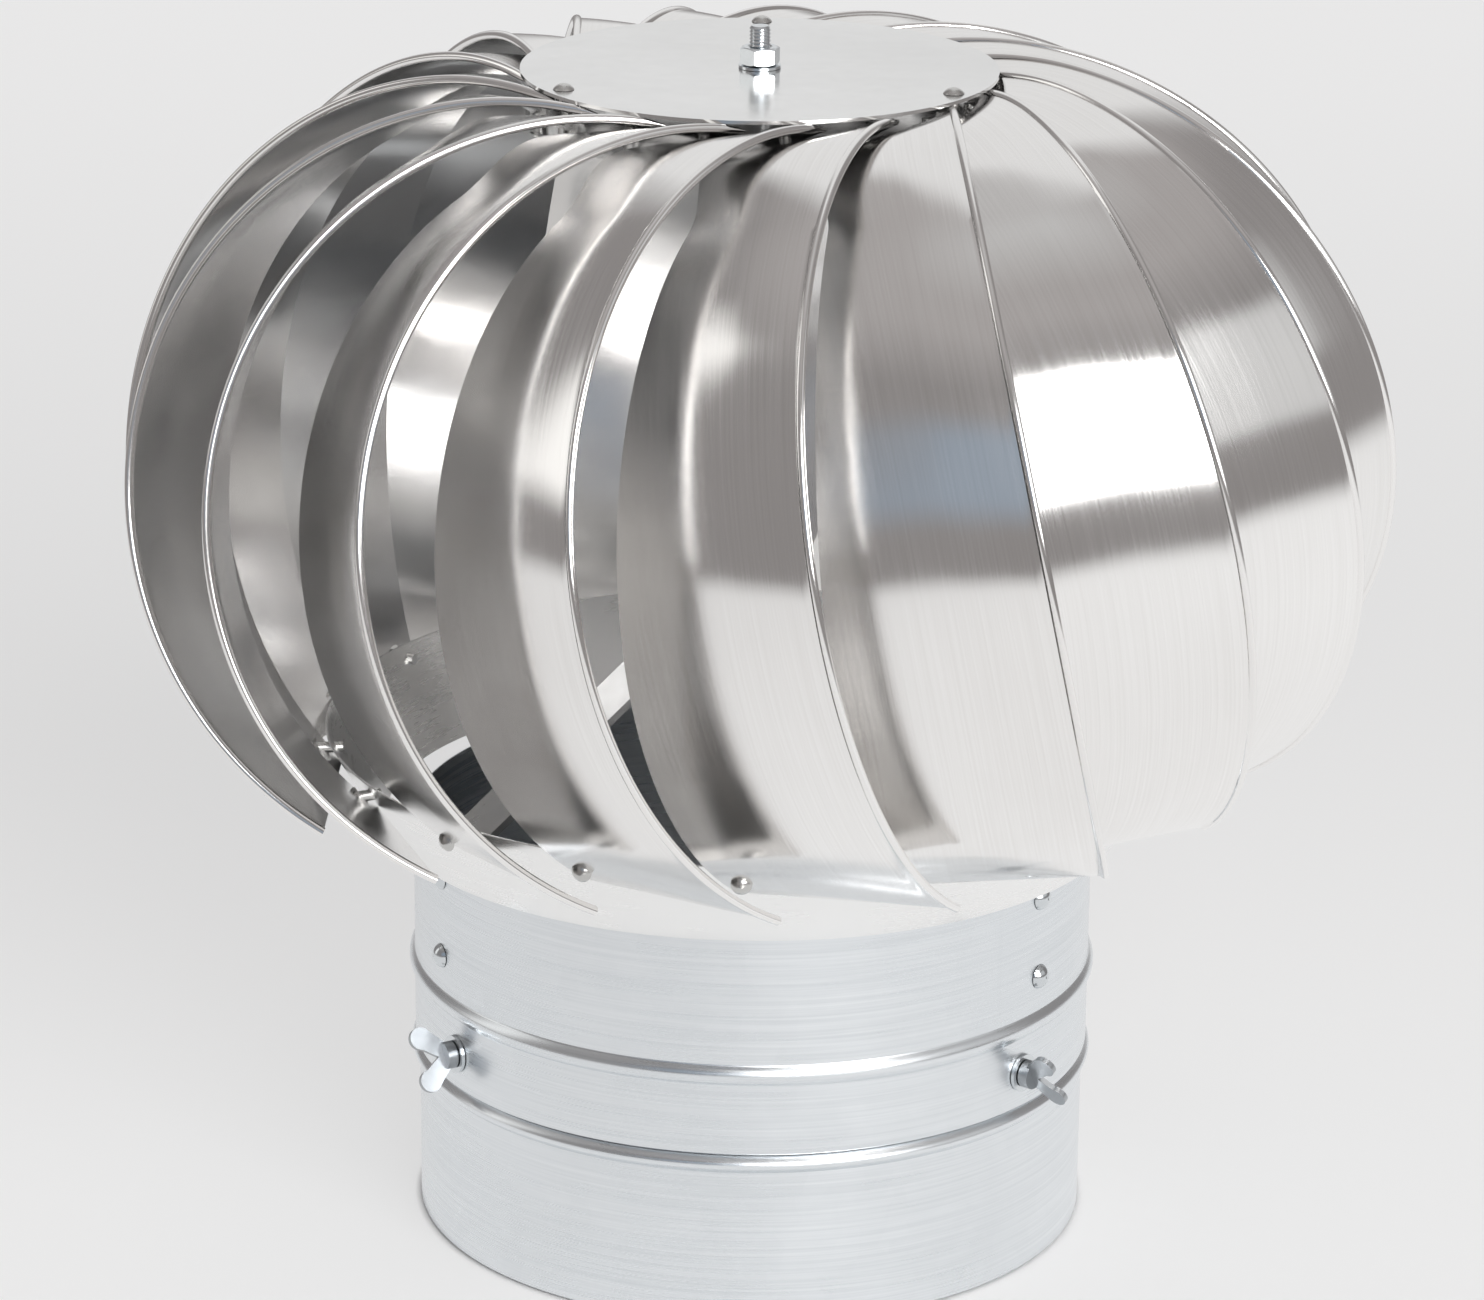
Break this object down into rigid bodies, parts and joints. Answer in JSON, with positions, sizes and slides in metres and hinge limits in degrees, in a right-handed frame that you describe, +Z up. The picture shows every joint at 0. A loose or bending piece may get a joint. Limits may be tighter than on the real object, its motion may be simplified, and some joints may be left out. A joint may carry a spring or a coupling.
{
  "type": "rotating chimney cowl",
  "caption": "Wind-driven chimney cowl: a ball of curved sheet-metal blades that spins on a spindle above a beaded flue collar, clamped to its sleeve by wing screws.",
  "frame": {"origin": "centre of the sleeve's bottom rim, where the cowl stands", "axes": "+Z up along the flue and the spindle; -Y to the front, as pictured; +X to the right"},
  "size_m": [0.3656, 0.364, 0.3533],
  "materials": {
    "blade_sheet": "bright rolled stainless sheet with faint lengthwise grain",
    "cap_sheet": "satin stainless sheet",
    "ring_sheet": "bright satin stainless sheet",
    "galvanised_sheet": "galvanised sheet, fine spangle",
    "zinc_strip": "zinc-plated strip",
    "turned_steel": "turned steel",
    "bearing_steel": "ground steel",
    "rivet_steel": "stainless rivet",
    "zinc_fastener": "bright zinc plate"
  },
  "bodies": {
    "base": {"base_sleeve": "galvanised_sheet"},
    "collar": {"collar_tube": "galvanised_sheet", "leg_left": "zinc_strip", "leg_right": "zinc_strip", "leg_rear": "zinc_strip", "leg_screws": "zinc_fastener", "leg_nuts": "zinc_fastener", "clamp_nuts": "zinc_fastener", "bearing_housing": "turned_steel", "hub_screws": "zinc_fastener", "hub_nuts": "zinc_fastener", "lower_outer_race": "bearing_steel", "upper_outer_race": "bearing_steel", "lower_balls": "bearing_steel", "upper_balls": "bearing_steel"},
    "head": {"spindle": "turned_steel", "lower_inner_race": "bearing_steel", "upper_inner_race": "bearing_steel", "race_spacer": "turned_steel", "lock_nut": "zinc_fastener", "blade_disc": "blade_sheet", "cap_spacer": "turned_steel", "cap_plate": "cap_sheet", "cap_washer": "zinc_fastener", "cap_nut": "zinc_fastener", "cap_rivets": "rivet_steel", "lower_ring": "ring_sheet", "foot_rivets": "rivet_steel", "top_rivets": "rivet_steel", "blade_01": "blade_sheet", "blade_02": "blade_sheet", "blade_03": "blade_sheet", "blade_04": "blade_sheet", "blade_05": "blade_sheet", "blade_06": "blade_sheet", "blade_07": "blade_sheet", "blade_08": "blade_sheet", "blade_09": "blade_sheet", "blade_10": "blade_sheet", "blade_11": "blade_sheet", "blade_12": "blade_sheet", "blade_13": "blade_sheet", "blade_14": "blade_sheet", "blade_15": "blade_sheet", "blade_16": "blade_sheet", "blade_17": "blade_sheet", "blade_18": "blade_sheet"},
    "left_wing": {"wing_screw_left": "zinc_fastener"},
    "right_wing": {"wing_screw_right": "zinc_fastener"},
    "rear_wing": {"wing_screw_rear": "zinc_fastener"}
  },
  "joints": [
    {"name": "collar_lift", "type": "slide", "parent": "base", "child": "collar", "axis": [0, 0, 1], "range_m": [0, 0.02]},
    {"name": "head_spin", "type": "hinge", "parent": "collar", "child": "head", "pos_m": [0, 0, 0.2], "axis": [0, 0, 1], "continuous": true},
    {"name": "left_wing_turn", "type": "hinge", "parent": "collar", "child": "left_wing", "pos_m": [-0.08953, -0.05486, 0.06255], "axis": [-0.8526, -0.5225, 0], "range_deg": [0, 720]},
    {"name": "right_wing_turn", "type": "hinge", "parent": "collar", "child": "right_wing", "pos_m": [0.08217, -0.06536, 0.06255], "axis": [0.7826, -0.6225, 0], "range_deg": [0, 720]},
    {"name": "rear_wing_turn", "type": "hinge", "parent": "collar", "child": "rear_wing", "pos_m": [0.00641, 0.1048, 0.06255], "axis": [0.061, 0.9981, 0], "range_deg": [0, 720]}
  ]
}
